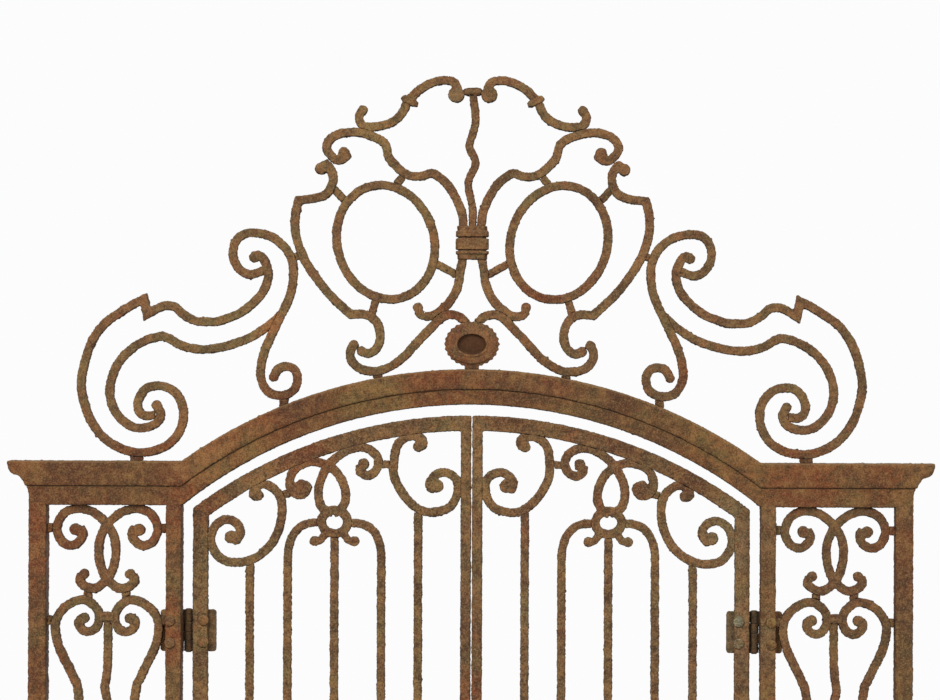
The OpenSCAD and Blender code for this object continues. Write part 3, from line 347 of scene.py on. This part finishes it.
class Rust(Tree):
    """Rusted iron, whose colour is laid on in coats, some of them painted light and shade."""

    def __init__(self, name, shift):
        self.material = bpy.data.materials.new(name)
        self.material.use_nodes = True
        super().__init__(self.material.node_tree)
        coords = self.add("ShaderNodeTexCoord").outputs
        self.point = coords["Object"]
        self.facing = self.axes(coords["Normal"])
        self.place = self.vector("ADD", self.point, (shift, shift * 0.6, shift * 1.7))[0]
        self.grain = self.field(340, 3, 0.7)
        self.mottle = self.field(95, 4, 0.65)
        # What breaks up the borders of patches
        self.broken = self.math("MULTIPLY", self.math("SUBTRACT", self.mottle, 0.5), 0.35)
        self.colour = None

    def field(self, scale, detail, rough):
        return self.noise(self.place, scale, detail, rough)

    def patches(self, scale, low, high, strength=1.0):
        field = self.math("ADD", self.field(scale, 6, 0.7), self.broken)
        return self.span(field, low, high, 0.0, strength)

    def coat(self, factor, tint, blend="MIX"):
        self.colour = self.mix(factor, self.colour, tint, blend)

    def lay_base(self, brown, olive, red, red_share):
        """Large patches of brown and olive, red ones over red_share of them, and a few of
        orange."""
        self.colour = srgb(*brown)
        self.coat(self.patches(9, 0.42, 0.60), srgb(*olive))
        red_from, red_full = 0.66 - red_share * 0.3, 0.76 - red_share * 0.25
        self.coat(self.patches(6.5, red_from, red_full, 0.95), srgb(*red))
        self.coat(self.patches(24, 0.62, 0.76, 0.4), ORANGE_PATCH)

    def stain(self, stains):
        front = self.vector("MULTIPLY", self.point, (1.0, 0.0, 1.0))[0]
        wander = self.math("ADD", self.math("MULTIPLY", self.field(22, 5, 0.7), 1.3),
                           self.math("MULTIPLY", self.broken, 2.0))
        for stain in stains:
            spread = 0.0
            for x, z, radius in stain.places:
                away = self.vector("DISTANCE", front, (x, 0.0, z))["Value"]
                near = self.span(away, 0.0, 1.6 * radius, 1.0, 0.0)
                spread = self.math("MAXIMUM", spread, near)
            share = self.span(self.math("ADD", spread, wander), 0.95, 1.3, 0.0, stain.strength)
            within = self.span(spread, 0.0, 0.25)
            self.coat(self.math("MULTIPLY", share, within), srgb(*stain.tint))

    def vary_hue(self):
        """Red spots, then redder and greener regions and spots about as light as what they
        lie on."""
        self.coat(self.patches(52, 0.54, 0.66, 0.22), RED_SPOT)
        for scale, strength in ((8, 0.35), (44, 0.45)):
            hue = self.field(scale, 3, 0.6)
            self.coat(self.span(hue, 0.5, 0.64, 0.0, strength), REDDER, "MULTIPLY")
            self.coat(self.span(hue, 0.5, 0.36, 0.0, strength), GREENER, "MULTIPLY")

    def vary_light(self, dark, light, contrast):
        """Light and dark at every size, from broad swathes down to the grain, the flecks
        and the pits."""
        swathe = self.field(17, 2, 0.5)
        tone = self.field(44, 4, 0.65)
        for field, dull, dry in ((swathe, 0.34, 0.24), (tone, 0.5, 0.4),
                                 (self.mottle, 0.42, 0.2)):
            self.coat(self.span(field, 0.5, 0.35, 0.0, dull * contrast), DULL)
            self.coat(self.span(field, 0.5, 0.65, 0.0, dry * contrast), DRY)
        self.coat(self.span(self.grain, 0.51, 0.33, 0.0, 0.7 * contrast), dark)
        self.coat(self.span(self.grain, 0.52, 0.68, 0.0, 0.5 * contrast), light)
        self.coat(self.span(self.field(190, 2, 0.5), 0.60, 0.72, 0.0, 0.3), YELLOW_FLECK)
        self.coat(self.span(self.field(230, 2, 0.5), 0.58, 0.70, 0.0, 0.3), RED_FLECK)
        crust = self.add("ShaderNodeAttribute", attribute_name="crust").outputs["Fac"]
        self.coat(self.span(crust, -0.2, -1.6, 0.0, 0.5), dark)

    def paint_side_shade(self):
        """Painted shade: what faces sideways is darker, as if turned away from the light."""
        frontal = self.math("ABSOLUTE", self.facing[1])
        # Painted shade: faces turned sideways from the front are darkened
        self.coat(self.span(frontal, 0.8, 0.25, 0.0, 0.55), SIDE_SHADE)

    def paint_hollow_shade(self, strength, depth):
        """Painted shade: what faces the front or back within depth of the middle plane lies in a
        hollow, and is darkened as if shaded there.
        """
        off_plane = self.math("ABSOLUTE", self.axes(self.point)[1])
        frontal = self.math("ABSOLUTE", self.facing[1])
        deep = self.math("MULTIPLY", self.span(off_plane, 1.1 * depth, depth),
                         self.span(frontal, 0.4, 0.7))
        # Painted shade in the hollows
        self.coat(self.math("MULTIPLY", deep, strength), HOLLOW_SHADE)

    def paint_hinge_shade_and_light(self, strength):
        """Painted shade darkens the sides of the barrels, and painted light makes the front of
        the plates beyond the posts paler, as if lit there."""
        beyond = self.math("SUBTRACT", self.math("ABSOLUTE", self.axes(self.point)[0]), HINGE_X)
        off = self.math("ABSOLUTE", beyond)
        beside = self.math("MULTIPLY", self.span(off, 0.003, 0.0085, 0.4, 1.0),
                           self.span(off, 0.013, 0.0105))
        # Painted shade beside the barrels
        self.coat(self.math("MULTIPLY", beside, strength), BARREL_SIDE_SHADE)
        # Painted light on the plates' fronts beyond the posts
        lit_plates = self.math("MULTIPLY", self.span(beyond, 0.030, 0.040, 0.0, 0.6),
                          self.span(self.facing[1], -0.3, -0.8))
        self.coat(lit_plates, PLATE_LIGHT)

    def paint_top_highlight_and_under_shade(self, light, top_highlight):
        """Painted highlight makes tops and upward edges paler, by the given share, and painted
        shade darkens what looks down.
        """
        upward = self.span(self.facing[2], 0.15, 0.5)
        # Painted highlight on tops and upward edges
        self.coat(self.math("MULTIPLY", upward, top_highlight), light)
        # Painted shade on undersides
        self.coat(self.span(self.facing[2], -0.45, -0.85, 0.0, 0.8), UNDER_SHADE)

    def finished(self):
        bump = self.add("ShaderNodeBump", {
            "Height": self.math("ADD", self.grain, self.math("MULTIPLY", self.mottle, 0.7)),
            "Strength": 0.6, "Distance": 0.0012,
        })
        shader = self.add("ShaderNodeBsdfPrincipled", {
            "Base Color": self.colour,
            "Roughness": self.span(self.mottle, 0.3, 0.7, 0.95, 0.78),
            "Metallic": 0.0, "Specular IOR Level": 0.22, "Normal": bump.outputs[0],
        })
        self.end("ShaderNodeOutputMaterial", shader.outputs[0])
        return self.material


def rust(name, brown, olive, red, red_share=0.35, shift=0.0, dark=(62, 40, 24),
         light=(154, 125, 92), contrast=1.0, top_highlight=0.2, hollow_shade=None, barrel_shade=None,
         stains=STAINS):
    """One look of rusted iron. brown, olive and red colour its patches, dark and light its
    grain, contrast strengthens its light and dark, and top_highlight is how pale the painted
    highlight on tops and upward edges is, in the colour light. hollow_shade is how dark the
    painted shade in the hollows is and how near the middle plane they lie, barrel_shade how
    dark the painted shade at the sides of the hinge barrels is, which also brings painted
    light onto the plates beyond the posts, and shift moves the noise to a place of its own."""
    skin = Rust(name, shift)
    skin.lay_base(brown, olive, red, red_share)
    skin.stain(stains)
    skin.vary_hue()
    skin.vary_light(srgb(*dark), srgb(*light), contrast)
    # Painted shade on sideways faces
    skin.paint_side_shade()
    # Painted shade in hollows such as the medallion's recess and the collar's grooves
    if hollow_shade:
        skin.paint_hollow_shade(*hollow_shade)
    # Painted shade beside the hinge barrels and painted light on the plates
    if barrel_shade:
        skin.paint_hinge_shade_and_light(barrel_shade)
    # Painted highlight on tops and painted shade on undersides
    skin.paint_top_highlight_and_under_shade(srgb(*light), top_highlight)
    return skin.finished()


# The looks of the slots, then those of two pieces that look unlike the rest of their slot
LOOKS = {
    "rusty_post": dict(brown=(109, 77, 48), olive=(118, 93, 55), red=(117, 67, 41),
                       light=(152, 122, 86), contrast=1.2),
    "red_rust": dict(brown=(109, 75, 43), olive=(119, 92, 51), red=(115, 64, 38), shift=5.0,
                     light=(150, 118, 80), contrast=1.15, top_highlight=0.4),
    "scroll_rust": dict(brown=(110, 79, 53), olive=(122, 99, 63), red=(120, 74, 49),
                        red_share=0.3, shift=2.0, top_highlight=0.08, hollow_shade=(0.85, 0.006)),
    "leaf_rust": dict(brown=(108, 78, 52), olive=(121, 98, 63), red=(116, 70, 48), shift=9.0,
                      contrast=1.25),
    "dark_rust": dict(brown=(94, 69, 48), olive=(108, 84, 58), red=(98, 63, 45), shift=3.0,
                      dark=(46, 32, 22), light=(138, 112, 82), barrel_shade=0.8),
    "ochre_rust": dict(brown=(124, 92, 52), olive=(136, 108, 64), red=(120, 82, 50),
                       red_share=0.3, shift=7.0, light=(168, 136, 92), stains=BROWN_BOLTS),
    "collar_rust": dict(brown=(104, 73, 47), olive=(120, 94, 58), red=(118, 68, 45),
                        shift=11.0, hollow_shade=(0.8, 0.0116)),
    "crusted_rust": dict(brown=(112, 98, 70), olive=(124, 112, 84), red=(108, 86, 60),
                         red_share=0.2, shift=13.0, dark=(60, 50, 34),
                         light=(180, 174, 146), stains=PALE_BOLT),
}
OWN_LOOK = {"binding_collar": "collar_rust", "right_bolts": "crusted_rust"}
MATERIALS = {name: rust(name, **look) for name, look in LOOKS.items()}


# ------------------------------------------------------------------ pieces

for name, nodes in PIECES.items():
    piece = crusted(name, nodes)
    slot = SLOT_OF[nodes[0]]
    piece.data.materials.clear()
    piece.data.materials.append(MATERIALS[OWN_LOOK.get(name, slot)])
    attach(piece, BODY_OF[nodes[0]])
    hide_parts(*nodes)


# ------------------------------------------------------------------ floor, light and camera

scene = bpy.context.scene
scene.view_settings.view_transform = "Standard"


def looked_at(t):
    """1 where a surface is seen, itself or in a reflection, and 0 where it only lights."""
    paths = t.add("ShaderNodeLightPath").outputs
    seen = t.math("MAXIMUM", paths["Is Camera Ray"], paths["Is Glossy Ray"])
    return t.math("MAXIMUM", seen, paths["Is Transmission Ray"])


# A white backdrop that gives a soft, warmer light
world = bpy.data.worlds.new("studio")
scene.world = world
world.use_nodes = True
t = Tree(world.node_tree)
ambient = t.add("ShaderNodeBackground", {"Color": (1.0, 0.99, 0.97, 1.0), "Strength": 0.57})
white = t.add("ShaderNodeBackground", {"Color": srgb(252, 252, 252), "Strength": 1.0})
both = t.add("ShaderNodeMixShader", {
    0: looked_at(t), 1: ambient.outputs[0], 2: white.outputs[0]})
t.end("ShaderNodeOutputWorld", both.outputs[0])

# A floor that looks white but throws less light up at the gate
FLOOR_SIZE = 20
FLOOR_LIT = (0.35, 0.34, 0.33, 1.0)
FLOOR_SEEN = (0.88, 0.88, 0.87, 1.0)
bpy.ops.mesh.primitive_plane_add(size=FLOOR_SIZE, location=(0, 0, 0))
floor = bpy.context.object
floor.name = "floor"
paint = bpy.data.materials.new("floor")
paint.use_nodes = True
t = Tree(paint.node_tree)
flat = t.add("ShaderNodeBsdfDiffuse", {"Color": t.mix(looked_at(t), FLOOR_LIT, FLOOR_SEEN)})
t.end("ShaderNodeOutputMaterial", flat.outputs[0])
floor.data.materials.append(paint)
floor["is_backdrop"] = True


def lamp(name, at, towards, size, watts):
    data = bpy.data.lights.new(name, "AREA")
    data.shape = "DISK"
    data.size, data.energy = size, watts
    thing = bpy.data.objects.new(name, data)
    scene.collection.objects.link(thing)
    thing.location = at
    thing.rotation_euler = (Vector(towards) - Vector(at)).to_track_quat("-Z", "Y").to_euler()


lamp("key", (-2.5, -7.5, 5.6), (0, 0, 1.8), 3.4, 425)
lamp("fill", (3.0, -5.0, 3.0), (0, 0, 1.8), 3.0, 65)
lamp("back", (2.0, 7.5, 4.2), (0, 0, 1.5), 3.4, 240)

# The camera stands square to the gate, a little right of its middle and turned a hair, with
# its frame slid left and up
DISTANCE = 6.0
FRAME_WIDTH = 1.88
SENSOR_WIDTH = 36
EYE_X, EYE_Z = 0.235, 2.06
TURN = -0.2055
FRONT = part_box("outer_post_left")[0][1]
camera_data = bpy.data.cameras.new("camera")
camera_data.sensor_width = SENSOR_WIDTH
camera_data.lens = SENSOR_WIDTH * DISTANCE / FRAME_WIDTH
camera_data.shift_x = -0.12644
camera_data.shift_y = 0.05084
camera = bpy.data.objects.new("camera", camera_data)
scene.collection.objects.link(camera)
camera.location = (EYE_X, FRONT - DISTANCE, EYE_Z)
camera.rotation_euler = (math.radians(90), math.radians(TURN), 0)
scene.camera = camera

bpy.context.view_layer.update()
